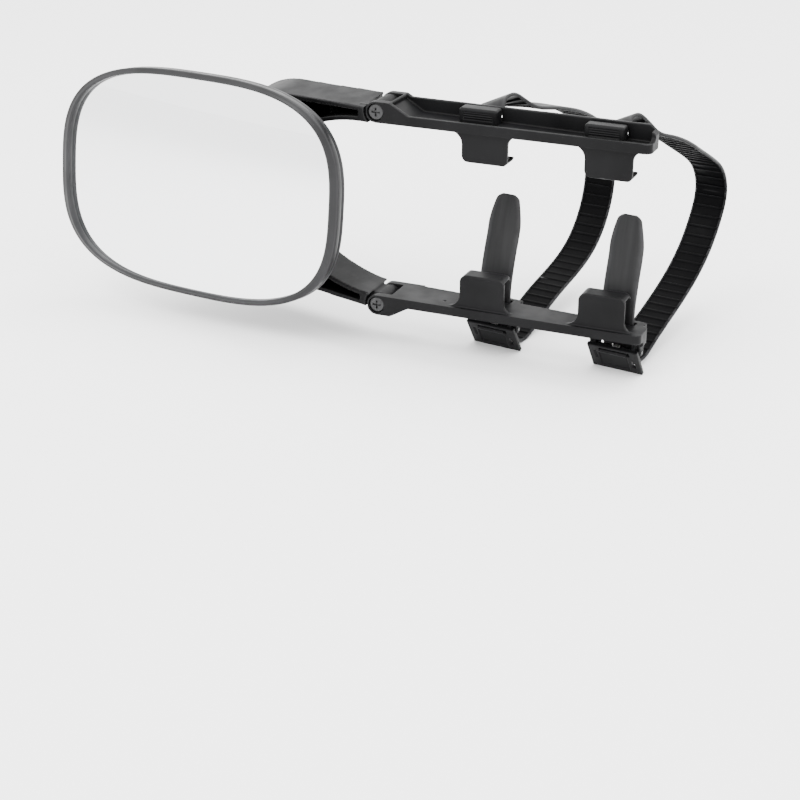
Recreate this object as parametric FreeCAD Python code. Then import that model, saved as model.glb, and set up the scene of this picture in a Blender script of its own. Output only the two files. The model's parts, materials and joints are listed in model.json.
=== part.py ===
"""Clip-on towing mirror: an adjustable mirror head on a C-shaped yoke, with two hinged
claw jaws and two ratchet straps that hold it on a vehicle's door mirror.

Frame: millimetres, +X along the jaws away from the mirror head, +Y to the back (the side
that faces forward on the vehicle), +Z up. The origin is the middle of the clamp: halfway
between the two jaws, halfway between their claws, in the plane of their front faces.
"""
import FreeCAD, Part
import math
import os

V = FreeCAD.Vector

# ---------------------------------------------------------------- driving dimensions
# Jaws
JAW_INNER = 56.7          # height of each jaw's inner face above or below the origin
JAW_BASE = 3.0            # thickness of the channel's floor
FRONT_WALL = 6.0          # height of the front wall, floor included
RIM_Z = (67.9, 70.3)      # top of the rear wall at its two ends, from the origin
FRONT_T = 3.0             # thickness of the front wall
REAR_T = 2.6              # thickness of the rear wall
DEPTH_AT_ORIGIN = 22.5    # front-to-back size of a jaw at X = 0
DEPTH_TAPER = 0.068       # how much narrower it gets for each millimetre of X
JAW_END = 65.0            # outer face of the end wall
END_T = 2.8               # thickness of the end wall
PIVOT_X = -110.0
PIVOT_Z = 63.2            # pivot height, above or below the origin
EAR_R = 6.5               # rounded end of the clevis ears
EAR_TOP = 6.6             # flat top of the clevis above its pivot
FRONT_EAR = 5.5           # front ear, from the front face
REAR_EAR = (24.5, 30.0)   # rear ear, from front to back
CLEVIS_END = 8.5          # clevis slot, from the pivot to its end wall
# Claws
CLAW_X = (-39.0, 39.0)
CLAW_HALF = 14.8
CLAW_SET = 2.5            # how far the claws stand back from the jaw's front face
UPPER_DROP = 18.9         # how far the claws reach from the jaw's inner face
LOWER_DROP = 21.5
CLAW_REACH = 15.1         # back of the claws' lips
CLAW_T = 2.5
CLAW_LIP = 1.1
PAD_T = 1.5
PAD_HALF = 12.5
# Pivot hardware
SHANK_D = 5.0
RUNNING_FIT = 0.1         # added to a shaft's diameter for its bore
HEAD_D = 10.4
WASHER_T = 1.0
SIDE_PLAY = 0.05
# Yoke
YOKE_YAW = 15.0           # the yoke leans back from the jaws by this angle
YOKE_ROOT_X = -118.0      # where its arms meet the clevis tongues
YOKE_FRONT = 1.0
YOKE_DEPTH = 28.0
YOKE_WALL = 3.0
# Ball joint and mirror head
BALL = V(-234.0, 10.5, 0.0)
BALL_R = 9.0
LINER_T = 2.0
BALL_IN_HEAD = 19.0       # ball centre behind the front plane of the rim
HEAD_YAW = -6.8
HEAD_LEAN = -7.0
RIM_HALF = (110.4, 73.3)
VIEW_HALF = (104.0, 69.2)
GLASS_HALF = (105.3, 70.5)
CARRIER_HALF = (103.0, 68.0)
GLASS_R = 1400.0          # convex mirror radius
GLASS_T = 2.5
GLASS_FRONT = -0.8
GLASS_PAD_T = 1.0
CARRIER_T = 2.2
RIM_FRONT = -1.0
RIM_REAR = 8.0
STUD_D = 8.0
BOSS_REAR = 65.0
# Straps and their buckles: name, X and Y of the slot in the lower jaw
STRAPS = (("inner", -38.5, 25.0), ("outer", 44.5, 19.5))
STRAP_YAW = 8.0           # straps and buckles are turned by this angle
STRAP_W = 22.5
STRAP_T = 2.2
STRAP_Z = 63.8            # height at which the straps enter the upper jaw
HUMP_ROLL = 15.0          # twist of the straps where they arch out of the upper jaw
TIP_SHIFT = -1.7          # sideways lean of the free tip
ANCHOR_SHIFT = {"inner": -8.8, "outer": -10.6}   # X from a strap's slot to its anchor
ANCHOR_FRONT = {"inner": 12.0, "outer": 7.4}
ANCHOR_TOP = 68.8
# Release levers, in the turned frame of their slot: distance back, distance below
LEVER_TOP = (-6.0, 73.3)
LEVER_TILT = 32.0
LEVER_LENGTH = 21.3
LEVER_HALF = 17.0
LEVER_T = 2.5
PIN_PLACE = (1.2, 74.5)
PIN_D = 2.5


# ---------------------------------------------------------------- small helpers
def box(x0, x1, y0, y1, z0, z1):
    return Part.makeBox(x1 - x0, y1 - y0, z1 - z0, V(x0, y0, z0))


def along_y(radius, x, z, y0, y1):
    return Part.makeCylinder(radius, y1 - y0, V(x, y0, z), V(0, 1, 0))


def along_x(radius, y, z, x0, x1):
    return Part.makeCylinder(radius, x1 - x0, V(x0, y, z), V(1, 0, 0))


def fuse(shapes):
    whole = shapes[0]
    for shape in shapes[1:]:
        whole = whole.fuse(shape)
    return whole.removeSplitter()


def outline(points, place):
    """A closed wire through (a, b, corner radius) points, with round corners as arcs."""
    edges = []
    starts = []
    ends = []
    count = len(points)
    for i, (a, b, r) in enumerate(points):
        here = V(a, b, 0)
        before = V(*points[i - 1][:2], 0)
        after = V(*points[(i + 1) % count][:2], 0)
        if r == 0:
            starts.append(here)
            ends.append(here)
            continue
        to_before = (before - here).normalize()
        to_after = (after - here).normalize()
        half = to_before.getAngle(to_after) / 2
        starts.append(here + to_before * (r / math.tan(half)))
        ends.append(here + to_after * (r / math.tan(half)))
        middle = (to_before + to_after).normalize() * (r / math.sin(half) - r)
        edges.append((i, starts[-1], here + middle, ends[-1]))
    arcs = {i: Part.Arc(place(p), place(q), place(s)).toShape() for i, p, q, s in edges}
    wire = []
    for i in range(count):
        if i in arcs:
            wire.append(arcs[i])
        nxt = starts[(i + 1) % count]
        if (nxt - ends[i]).Length > 1e-6:
            wire.append(Part.makeLine(place(ends[i]), place(nxt)))
    return Part.Wire(wire)


def prism_xz(points, y0, y1):
    wire = outline(points, lambda p: V(p.x, y0, p.y))
    return Part.Face(wire).extrude(V(0, y1 - y0, 0))


def prism_yz(points, x0, x1):
    wire = outline(points, lambda p: V(x0, p.x, p.y))
    return Part.Face(wire).extrude(V(x1 - x0, 0, 0))


def prism_xy(points, z0, z1):
    wire = outline(points, lambda p: V(p.x, p.y, z0))
    return Part.Face(wire).extrude(V(0, 0, z1 - z0))


def soften(shape, radius, wanted):
    """Round the edges that wanted(edge) accepts."""
    edges = [edge for edge in shape.Edges if wanted(edge)]
    return shape.makeFillet(radius, edges)


def below(shape):
    """The same shape mirrored to the lower jaw."""
    return shape.mirror(V(0, 0, 0), V(0, 0, 1))


def jaw_depth(x):
    return DEPTH_AT_ORIGIN - DEPTH_TAPER * x


# ---------------------------------------------------------------- jaws
def jaw_plan(inset_front, inset_end, inset_rear, left):
    """Corners of a jaw seen from above, moved in by the wall thicknesses."""
    right = JAW_END - inset_end
    return [
        (left, inset_front, 0),
        (right, inset_front, 4.2 - inset_end),
        (right, jaw_depth(right) - inset_rear, 3.6 - inset_end),
        (left, jaw_depth(left) - inset_rear, 0),
    ]


def clevis_block():
    x, z = PIVOT_X, PIVOT_Z
    top = z + EAR_TOP
    slope_end = -88.0
    points = [
        (x - EAR_R, JAW_INNER, EAR_R - 0.3),
        (slope_end, JAW_INNER, 0),
        (slope_end, JAW_INNER + FRONT_WALL, 0),
        (-100.5, top, 2.0),
        (x - EAR_R, top, EAR_R - 0.3),
    ]
    block = prism_xz(points, 0, REAR_EAR[1])
    slot = box(x - 20, x + CLEVIS_END, FRONT_EAR, REAR_EAR[0], 40, 90)
    return block.cut(slot)


def claw(x, drop):
    z0 = JAW_INNER - drop
    back = CLAW_SET + CLAW_T
    side = [
        (CLAW_SET, JAW_INNER + 1, 0),
        (CLAW_SET, z0, 1.2),
        (CLAW_REACH, z0, 0.8),
        (CLAW_REACH, z0 + CLAW_T + CLAW_LIP, 0.4),
        (CLAW_REACH - 1.6, z0 + CLAW_T + CLAW_LIP, 0.4),
        (CLAW_REACH - 1.6, z0 + CLAW_T, 0),
        (back, z0 + CLAW_T, 0),
        (back, JAW_INNER + 1, 0),
    ]
    half = CLAW_HALF
    front = [
        (x - half - 9.0, JAW_INNER, 0),
        (x - half, JAW_INNER, 8.0),
        (x - half, z0, 4.6),
        (x + half, z0, 3.6),
        (x + half, JAW_INNER, 6.0),
        (x + half + 7.0, JAW_INNER, 0),
        (x + half + 7.0, JAW_INNER + 1, 0),
        (x - half - 9.0, JAW_INNER + 1, 0),
    ]
    profile = prism_yz(side, x - half - 9.0, x + half + 9.0)
    return profile.common(prism_xz(front, -1, CLAW_REACH + 1))


def pivot_bores():
    x, z = PIVOT_X, PIVOT_Z
    bore = along_y((SHANK_D + RUNNING_FIT) / 2, x, z, -1, 40)
    recess = along_y(HEAD_D / 2 + 0.2, x, z, -1, 4.0)
    pocket = hexagon(8.2, 10.0, V(x, REAR_EAR[1] - 4.0, z))
    return bore.fuse(recess).fuse(pocket)


def hexagon(across, length, start):
    radius = across / math.sqrt(3)
    corners = [V(start.x + radius * math.cos(math.radians(60 * i)), start.y,
                 start.z + radius * math.sin(math.radians(60 * i))) for i in range(7)]
    return Part.Face(Part.makePolygon(corners)).extrude(V(0, length, 0))


def plain_jaw(drop):
    """One jaw moulding without its strap features, in the upper jaw's place."""
    left = PIVOT_X + CLEVIS_END
    floor = JAW_INNER + JAW_BASE
    body = prism_xy(jaw_plan(0, 0, 0, left), JAW_INNER, JAW_INNER + FRONT_WALL)
    walls = prism_xy(jaw_plan(0, 0, 0, left), JAW_INNER, 80)
    rim = [(left, JAW_INNER, 0), (left, RIM_Z[0], 0), (JAW_END - 5.5, RIM_Z[1], 2.0),
           (JAW_END, RIM_Z[1] - 4.2, 1.0), (JAW_END, JAW_INNER, 0)]
    end = [(0, JAW_INNER, 0), (0, JAW_INNER + FRONT_WALL, 1.5), (7.0, JAW_INNER + FRONT_WALL, 2.0),
           (11.0, 67.0, 1.5), (30.0, 67.0, 0), (30.0, JAW_INNER, 0)]
    tall = prism_xz(rim, 5.0, 40.0).common(prism_yz(end, left, JAW_END)
                                           .fuse(prism_xz(rim, 9.0, 40.0)))
    cavity = prism_xy(jaw_plan(FRONT_T, END_T, REAR_T, left + 1.5), floor, 90)
    ramp = prism_xz([(left - 5, 50, 0), (-88.0, 50, 0), (-88.0, floor, 0), (-100.5, floor + 7.1, 0),
                     (left - 5, floor + 7.1, 0)], -1, 40)
    shell = body.fuse(tall.common(walls)).fuse(clevis_block()).cut(cavity.cut(ramp))
    return fuse([shell] + [claw(x, drop) for x in CLAW_X]).cut(pivot_bores())


def turned(shape, x, y):
    """Turn a shape that was built round the Z axis and move it to a strap's slot."""
    shape.rotate(V(0, 0, 0), V(0, 0, 1), -STRAP_YAW)
    shape.translate(V(x, y, 0))
    return shape


def upper_jaw():
    jaw = plain_jaw(UPPER_DROP)
    for name, slot_x, slot_y in STRAPS:
        x, y0, y1 = anchor_place(name, slot_x)
        window = turned(box(-12.1, 12.1, -5.0, 4.0, STRAP_Z - 1.9, STRAP_Z + 1.9), x, slot_y)
        jaw = jaw.cut(window)
        for side in (-9, 9):
            jaw = jaw.cut(Part.makeCylinder(1.55, 9, V(x + side, (y0 + y1) / 2, JAW_INNER - 1)))
    return jaw


def slot_bracket():
    """Loop behind the jaw's rear edge that closes a strap slot, with the lever's two lugs."""
    z0 = JAW_INNER
    parts = [box(-17.3, 17.3, -5.0, 7.0, z0, z0 + 4.8)]
    pin_y, pin_z = PIN_PLACE
    for side in (-1, 1):
        x0, x1 = sorted((side * 14.7, side * 17.3))
        parts.append(along_x(2.4, pin_y, pin_z, x0, x1))
        parts.append(prism_yz([(-2.8, z0 + 1, 0), (6.0, z0 + 1, 0), (pin_y + 2.4, pin_z, 0),
                               (pin_y - 2.4, pin_z, 0)], x0, x1))
    return fuse(parts)


def lower_jaw():
    """Built in the upper jaw's place and mirrored down."""
    jaw = plain_jaw(LOWER_DROP)
    for _, x, y in STRAPS:
        floor = JAW_INNER + JAW_BASE
        room = box(-18.0, 18.0, -5.6, 12.0, floor, 90)
        slot = box(-12.2, 12.2, -2.0, 3.4, 50, 90)
        bore = along_x((PIN_D + RUNNING_FIT) / 2, *PIN_PLACE, -20, 20)
        jaw = jaw.cut(turned(room, x, y)).fuse(turned(slot_bracket(), x, y))
        jaw = jaw.cut(turned(slot, x, y)).cut(turned(bore, x, y))
    dimple = Part.makeSphere(1.3, V(-66.0, 9.0, JAW_INNER - 0.7))
    return below(jaw.removeSplitter().cut(dimple))


def claw_pads(drop):
    z0 = JAW_INNER - drop + CLAW_T
    front, back = CLAW_SET + CLAW_T, CLAW_REACH - 2.0
    profile = [(front, z0, 0), (back, z0, 0), (back, z0 + PAD_T, 0),
               (front + PAD_T, z0 + PAD_T, 0.8), (front + PAD_T, JAW_INNER - 0.4, 0),
               (front, JAW_INNER - 0.4, 0)]
    return [prism_yz(profile, x - PAD_HALF, x + PAD_HALF) for x in CLAW_X]


# ---------------------------------------------------------------- pivot hardware
def pivot_screw():
    x, z = PIVOT_X, PIVOT_Z
    shank = along_y(SHANK_D / 2, x, z, 3.9, REAR_EAR[1] - 0.6)
    head = soften(along_y(HEAD_D / 2, x, z, 1.0, 3.95), 1.0,
                  lambda e: abs(e.CenterOfMass.y - 1.0) < 0.01 and len(e.Vertexes) == 1)
    cross = [box(x - 2.8, x + 2.8, 0, 2.3, z - 0.6, z + 0.6),
             box(x - 0.6, x + 0.6, 0, 2.3, z - 2.8, z + 2.8)]
    return shank.fuse(head).removeSplitter().cut(cross[0]).cut(cross[1])


def pivot_nut():
    start = V(PIVOT_X, REAR_EAR[1] - 3.9, PIVOT_Z)
    bore = along_y((SHANK_D + RUNNING_FIT) / 2, PIVOT_X, PIVOT_Z, 0, 40)
    return hexagon(8.0, 3.4, start).cut(bore)


def friction_washers():
    x, z = PIVOT_X, PIVOT_Z
    washers = []
    for y0 in (FRONT_EAR, REAR_EAR[0] - WASHER_T):
        ring = along_y(6.0, x, z, y0, y0 + WASHER_T)
        washers.append(ring.cut(along_y(SHANK_D / 2 + 0.1, x, z, y0 - 1, y0 + 3)))
    return washers


# ---------------------------------------------------------------- yoke
# Half outlines of the C, from the jaw end to the middle: distance from the root, height.
YOKE_OUTER = [(-8, 65.6), (25, 64.9), (60, 63.7), (85, 61.2), (102, 53.0), (122, 34.0), (135, 14.5)]
YOKE_OUTER_BACK = [(-8, 68.8), (25, 67.9), (60, 66.6), (84, 65.2), (104, 57.5), (124, 37.0), (136, 15.5)]
YOKE_INNER = [(-8, 55.8), (14, 54.8), (36, 49.5), (60, 39.0), (84, 23.0), (98, 9.0)]
YOKE_MIDDLE = (139.0, 102.0)


def spline_edge(points, y):
    curve = Part.BSplineCurve()
    curve.interpolate([V(-u, y, z) for u, z in points])
    return curve.toShape()


def c_points(half, middle):
    return half + [(middle, 0.0)] + [(u, -z) for u, z in reversed(half)]


def moved_in(points, distance):
    """The same line of points, moved sideways."""
    moved = []
    for i, (u, z) in enumerate(points):
        before, after = points[max(i - 1, 0)], points[min(i + 1, len(points) - 1)]
        du, dz = after[0] - before[0], after[1] - before[1]
        length = math.hypot(du, dz)
        moved.append((u + distance * dz / length, z - distance * du / length))
    return moved


def c_solid(outer, inner, y0, y1):
    first = spline_edge(outer, y0)
    second = spline_edge(inner, y0)
    ends = [Part.makeLine(V(-outer[k][0], y0, outer[k][1]), V(-inner[k][0], y0, inner[k][1]))
            for k in (0, -1)]
    wire = Part.Wire(Part.__sortEdges__([first, second] + ends))
    return Part.Face(wire).extrude(V(0, y1 - y0, 0))


def c_loft(front, back, inner, y0, y1):
    """A C whose outer edge changes from front to back."""
    faces = []
    lines = []
    for outer, y in ((front, y0), (back, y1)):
        first, second = spline_edge(outer, y), spline_edge(inner, y)
        ends = [Part.makeLine(V(-outer[k][0], y, outer[k][1]), V(-inner[k][0], y, inner[k][1]))
                for k in (0, -1)]
        lines.append([first, second] + ends)
        faces.append(Part.Face(Part.Wire(Part.__sortEdges__(lines[-1]))))
    faces += [Part.makeRuledSurface(a, b) for a, b in zip(*lines)]
    return solid_of(faces)


def solid_of(faces):
    """A solid closed by faces whose edges meet."""
    shell = Part.makeShell(faces)
    shell.sewShape()
    solid = Part.makeSolid(shell.Shells[0] if shell.Shells else shell)
    if solid.Volume < 0:
        solid.reverse()
    return solid


def tongue(sign):
    z = sign * PIVOT_Z
    y0 = FRONT_EAR + WASHER_T + SIDE_PLAY
    y1 = REAR_EAR[0] - WASHER_T - SIDE_PLAY
    lobe = along_y(6.2, PIVOT_X, z, y0, y1)
    neck = box(PIVOT_X - 13, PIVOT_X, y0, y1, min(sign * 57.2, sign * 66.0),
               max(sign * 57.2, sign * 66.0))
    return lobe.fuse(neck)


def yoke_frame():
    outer = c_points(YOKE_OUTER, YOKE_MIDDLE[0])
    inner = c_points(YOKE_INNER, YOKE_MIDDLE[1])
    outer_back = c_points(YOKE_OUTER_BACK, YOKE_MIDDLE[0] + 1.0)
    frame = c_loft(outer, outer_back, inner, 0, YOKE_DEPTH)
    start = 5.0
    room_outer = [(max(u, start), z) for u, z in moved_in(outer, YOKE_WALL)]
    room_inner = [(max(u, start), z) for u, z in moved_in(inner, -YOKE_WALL)]
    room = c_solid(room_outer, room_inner, -1, YOKE_DEPTH - YOKE_WALL)
    frame = frame.cut(room)
    ribs = [rib for u in (38.0, 74.0) for rib in yoke_ribs(u)]
    frame = fuse([frame] + [rib.common(c_solid(outer, inner, 0, YOKE_DEPTH)) for rib in ribs])
    frame.translate(V(YOKE_ROOT_X, YOKE_FRONT, 0))
    frame.rotate(V(YOKE_ROOT_X, YOKE_FRONT, 0), V(0, 0, 1), -YOKE_YAW)
    for sign in (1, -1):
        frame = frame.cut(along_y(8.4, PIVOT_X, sign * PIVOT_Z, -10, 60))
    frame = frame.cut(box(PIVOT_X - 2, PIVOT_X + 30, -10, 60, -90, 90))
    boss = along_y(13.0, BALL.x, BALL.z, 31.0, BOSS_REAR)
    frame = fuse([frame, boss, tongue(1), tongue(-1)])
    frame = frame.cut(along_y((STUD_D + RUNNING_FIT) / 2, BALL.x, BALL.z, 0, 90))
    for sign in (1, -1):
        frame = frame.cut(along_y((SHANK_D + RUNNING_FIT) / 2, PIVOT_X, sign * PIVOT_Z, -5, 60))
    return frame


def yoke_ribs(u):
    """Low stiffening webs across the channel, one in each arm."""
    height = 12.0
    return [box(-u - 0.9, -u + 0.9, YOKE_DEPTH - YOKE_WALL - height, YOKE_DEPTH - 1,
                min(s * 10, s * 80), max(s * 10, s * 80)) for s in (1, -1)]


# ---------------------------------------------------------------- ball joint
def ball_stud():
    ball = Part.makeSphere(BALL_R, BALL)
    neck = along_y(4.5, BALL.x, BALL.z, BALL.y + 5, 28.5)
    collar = hexagon(14.0, 2.95, V(BALL.x, 28.0, BALL.z))
    shank = along_y(STUD_D / 2, BALL.x, BALL.z, 30.0, BOSS_REAR + 11.5)
    return fuse([ball, neck, collar, shank])


def stud_washers():
    bore = along_y(STUD_D / 2 + 0.1, BALL.x, BALL.z, 0, 90)
    seat = BOSS_REAR + SIDE_PLAY
    flat = along_y(8.0, BALL.x, BALL.z, seat, seat + 1.6)
    spring = along_y(7.0, BALL.x, BALL.z, seat + 1.6, seat + 3.8)
    return [flat.cut(bore), spring.cut(bore)]


def stud_nut():
    bore = along_y((STUD_D + RUNNING_FIT) / 2, BALL.x, BALL.z, 0, 90)
    return hexagon(13.0, 6.5, V(BALL.x, BOSS_REAR + SIDE_PLAY + 3.8, BALL.z)).cut(bore)


def sphere_opening(half_angle, length=30.0):
    """The cone that leaves the ball open toward the stud's neck."""
    return Part.makeCone(0, length * math.tan(math.radians(half_angle)), length, BALL, V(0, 1, 0))


def ball_liner():
    inner = BALL_R + RUNNING_FIT / 2
    shell = Part.makeSphere(BALL_R + LINER_T, BALL).cut(Part.makeSphere(inner, BALL))
    slit = box(BALL.x - 0.6, BALL.x + 0.6, BALL.y + 2, BALL.y + 20, BALL.z - 20, BALL.z + 20)
    return shell.cut(sphere_opening(58.0)).cut(slit)


# ---------------------------------------------------------------- mirror head
def in_head(shape):
    """Move a shape from the head's own frame, rim front at Y = 0, to its place."""
    shape.translate(V(0, -BALL_IN_HEAD, 0))
    shape.rotate(V(0, 0, 0), V(1, 0, 0), HEAD_LEAN)
    shape.rotate(V(0, 0, 0), V(0, 0, 1), HEAD_YAW)
    shape.translate(BALL)
    return shape


def head_wire(half, y, power):
    """Superellipse |x/a|^n + |z/b|^n = 1 as one closed spline."""
    count = 48
    points = []
    for i in range(count):
        t = 2 * math.pi * i / count
        c, s = math.cos(t), math.sin(t)
        points.append(V(half[0] * math.copysign(abs(c) ** (2 / power), c), y,
                        half[1] * math.copysign(abs(s) ** (2 / power), s)))
    even = Part.BSplineCurve()
    even.interpolate(points, PeriodicFlag=True)
    smooth = even.discretize(Number=40)[:-1]
    curve = Part.BSplineCurve()
    curve.interpolate(smooth, PeriodicFlag=True)
    return Part.Wire(curve.toShape())


def head_slab(half, y0, y1, power=3.1):
    return Part.Face(head_wire(half, y0, power)).extrude(V(0, y1 - y0, 0))


def behind_sphere(offset):
    """Everything inside the mirror's sphere moved back by offset."""
    return Part.makeSphere(GLASS_R - offset, V(0, GLASS_FRONT + GLASS_R, 0))


def curved_sheet(half, offset, thickness):
    slab = head_slab(half, -3, 16)
    return slab.common(behind_sphere(offset)).cut(behind_sphere(offset + thickness))


def mirror_glass():
    return in_head(curved_sheet(GLASS_HALF, 0, GLASS_T))


def glass_pad():
    return in_head(curved_sheet(CARRIER_HALF, GLASS_T, GLASS_PAD_T))


def head_bezel():
    ring = head_slab(RIM_HALF, RIM_FRONT, RIM_REAR, 2.95).cut(head_slab(VIEW_HALF, -4, 12))
    pocket_half = (GLASS_HALF[0] + 0.5, GLASS_HALF[1] + 0.5)
    pocket = head_slab(pocket_half, -3, RIM_REAR + 1).common(behind_sphere(-0.1))
    ring = ring.cut(pocket)
    lip = [e for e in ring.Edges if abs(e.BoundBox.YMin - RIM_FRONT) < 0.01
           and abs(e.BoundBox.YMax - RIM_FRONT) < 0.01]
    outer = max(lip, key=lambda e: e.Length)
    return in_head(ring.makeFillet(1.8, [outer]))


DOME = ((8.0, 110.0, 72.9), (12.0, 106.5, 69.6), (18.0, 95.0, 60.0), (23.0, 72.0, 43.5),
        (26.0, 42.0, 27.0))
DOME_ROOM = ((7.0, 107.6, 70.6), (11.5, 103.8, 66.9), (16.5, 92.0, 57.2), (20.8, 69.0, 41.0),
             (23.4, 40.0, 25.0))
SCREW_X, SCREW_Z = 52.0, 26.0
PILLAR_TOP = 16.0


def dome(sections):
    wires = [head_wire((a, b), y, 2.95) for y, a, b in sections]
    return Part.makeLoft(wires, True, False)


def shell_screw_places():
    return [(sx * SCREW_X, sz * SCREW_Z) for sx in (-1, 1) for sz in (-1, 1)]


def head_shell():
    outside = dome(DOME)
    shell = outside.cut(dome(DOME_ROOM))
    for x, z in shell_screw_places():
        boss = along_y(5.5, x, z, PILLAR_TOP, 30).common(outside)
        shell = shell.fuse(boss).cut(along_y(3.6, x, z, 20.0, 40)).cut(along_y(1.55, x, z, 5, 40))
    return in_head(shell.cut(along_y(16.8, 0, 0, 5, 40)).removeSplitter())


def shell_screws():
    screws = []
    for x, z in shell_screw_places():
        shank = along_y(1.5, x, z, 9.0, 20.2)
        head = along_y(3.0, x, z, 20.0, 22.0)
        cross = box(x - 1.8, x + 1.8, 21.2, 23, z - 0.4, z + 0.4)
        cross = cross.fuse(box(x - 0.4, x + 0.4, 21.2, 23, z - 1.8, z + 1.8))
        screws.append(in_head(shank.fuse(head).removeSplitter().cut(cross)))
    return screws


def glass_carrier():
    offset = GLASS_T + GLASS_PAD_T
    plate = curved_sheet(CARRIER_HALF, offset, CARRIER_T)
    front = GLASS_FRONT + offset + 0.5
    solid = [plate, along_y(16.5, 0, 0, front, BALL_IN_HEAD)]
    solid += [along_y(4.5, x, z, front + 1.6, PILLAR_TOP) for x, z in shell_screw_places()]
    solid += [box(-60, 60, front + 0.8, 9.0, z - 0.8, z + 0.8) for z in (-SCREW_Z, 0, SCREW_Z)]
    whole = fuse(solid).common(behind_sphere(offset))
    for x, z in shell_screw_places():
        whole = whole.cut(along_y(1.55, x, z, 8.5, 40))
    for x, z in ring_screw_places():
        whole = whole.cut(along_y(1.3, x, z, 11.5, 40))
    return in_head(whole).cut(Part.makeSphere(BALL_R + LINER_T + RUNNING_FIT / 2, BALL))


def ring_screw_places():
    turn = [math.radians(90 + 120 * i) for i in range(3)]
    return [(13.9 * math.cos(t), 13.9 * math.sin(t)) for t in turn]


def clamp_ring():
    ring = along_y(16.5, 0, 0, BALL_IN_HEAD, 27.4)
    for x, z in ring_screw_places():
        ring = ring.cut(along_y(1.3, x, z, 0, 40)).cut(along_y(2.4, x, z, 25.4, 40))
    ring = in_head(ring).cut(Part.makeSphere(BALL_R + LINER_T + RUNNING_FIT / 2, BALL))
    return ring.cut(sphere_opening(56.0))


def clamp_ring_screws():
    screws = []
    for x, z in ring_screw_places():
        shank = along_y(1.25, x, z, 12.0, 25.5)
        head = along_y(2.2, x, z, 25.4, 27.0)
        slot = box(x - 3, x + 3, 26.4, 28, z - 0.35, z + 0.35)
        screws.append(in_head(shank.fuse(head).removeSplitter().cut(slot)))
    return screws


# ---------------------------------------------------------------- straps and buckles
# Centre line of each strap, from its anchored end to its free tip: distance back from
# the strap slot, height above the origin.
LOOPS = {
    "inner": [(-9, 63.8), (-4, 63.8), (0, 63.9), (4, 65.1), (9, 66.4), (15, 66.1), (24, 64.0),
              (32, 61.6), (40, 59.4), (50, 57.2), (64, 54.2), (80, 50.0), (108, 39.5),
              (134, 23.0), (148, 2.0), (149.5, -20.0), (142.5, -38.5), (126, -56.0),
              (99, -67.5), (71, -74.5), (46, -83.0), (33, -88.2), (24, -90.2), (16.5, -89.0),
              (11.6, -84.5), (8.6, -78.5), (5.6, -72.0), (2.6, -65.5), (0.7, -58.5),
              (2.5, -40.0), (8.5, -20.0), (15.5, -3.0), (20.0, 7.4)],
    "outer": [(-9, 63.8), (-4, 63.8), (0, 63.8), (4, 64.3), (9, 64.8), (14, 64.2), (20, 62.4),
              (26, 60.0), (32, 57.2), (38, 54.2), (46, 51.2), (57, 47.5), (88, 32.8),
              (118, 17.5), (136, 4.0), (142, -11.0), (135, -28.0), (119, -45.5), (94, -60.5),
              (62, -72.5), (38, -80.8), (28, -84.8), (20, -86.6), (14, -85.5), (10.6, -81.5),
              (8.0, -76.5), (5.0, -70.5), (2.4, -65.0), (0.7, -58.5), (2.0, -40.0),
              (7.0, -20.0), (12.5, -3.0), (16.0, 7.6)],
}


def smooth(value, start, end):
    """0 before start, 1 after end, and a smooth step between."""
    t = min(max((value - start) / (end - start), 0.0), 1.0)
    return t * t * (3 - 2 * t)


def strap_half_width(left):
    """Half width at a distance from the rounded free tip."""
    full = STRAP_W / 2
    if left > 20:
        return full
    narrow = full - 4.2 * (1 - left / 20) ** 1.5
    return narrow * math.sqrt(1 - 0.71 * max(0.0, 1 - left / 3.5) ** 2)


def strap(name, x, y):
    """A band through four long edges, so that it can twist, move sideways and taper."""
    yaw = math.radians(STRAP_YAW)
    back, across = V(math.sin(yaw), math.cos(yaw), 0), V(math.cos(yaw), -math.sin(yaw), 0)
    curve = Part.BSplineCurve()
    curve.interpolate([back * s + V(0, 0, z) for s, z in LOOPS[name]])
    centres = curve.discretize(Number=150)
    length = curve.length()
    corners = ([], [], [], [])
    for i, centre in enumerate(centres):
        run = length * i / (len(centres) - 1)
        left = length - run
        tangent = curve.tangent(curve.parameter(centre))[0]
        inward = tangent.cross(across).normalize()
        roll = math.radians(HUMP_ROLL) * smooth(run, 10, 20) * (1 - smooth(run, 22, 62))
        side = across * math.cos(roll) - inward * math.sin(roll)
        inward = inward * math.cos(roll) + across * math.sin(roll)
        shift = ANCHOR_SHIFT[name] * (1 - smooth(run, 22, 100)) + TIP_SHIFT * (1 - smooth(left, 0, 30))
        middle = V(x + shift, y, 0) + centre
        half, thick = strap_half_width(left), STRAP_T / 2
        for line, (u, h) in zip(corners, ((-half, -thick), (half, -thick), (half, thick), (-half, thick))):
            line.append(middle + side * u + inward * h)
    edges = []
    for line in corners:
        edge = Part.BSplineCurve()
        edge.interpolate(line)
        edges.append(edge.toShape())
    faces = [ruled(edges[k], edges[(k + 1) % 4]) for k in range(4)]
    for k in (0, -1):
        faces.append(ruled(Part.makeLine(corners[0][k], corners[1][k]),
                           Part.makeLine(corners[3][k], corners[2][k])))
    return solid_of(faces)


def ruled(first, second):
    return Part.makeLoft([Part.Wire(first), Part.Wire(second)], False, True).Faces[0]


def anchor_place(name, slot_x):
    x = slot_x + ANCHOR_SHIFT[name]
    return x, ANCHOR_FRONT[name], jaw_depth(x + 12.4) - REAR_T - 0.2


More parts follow.
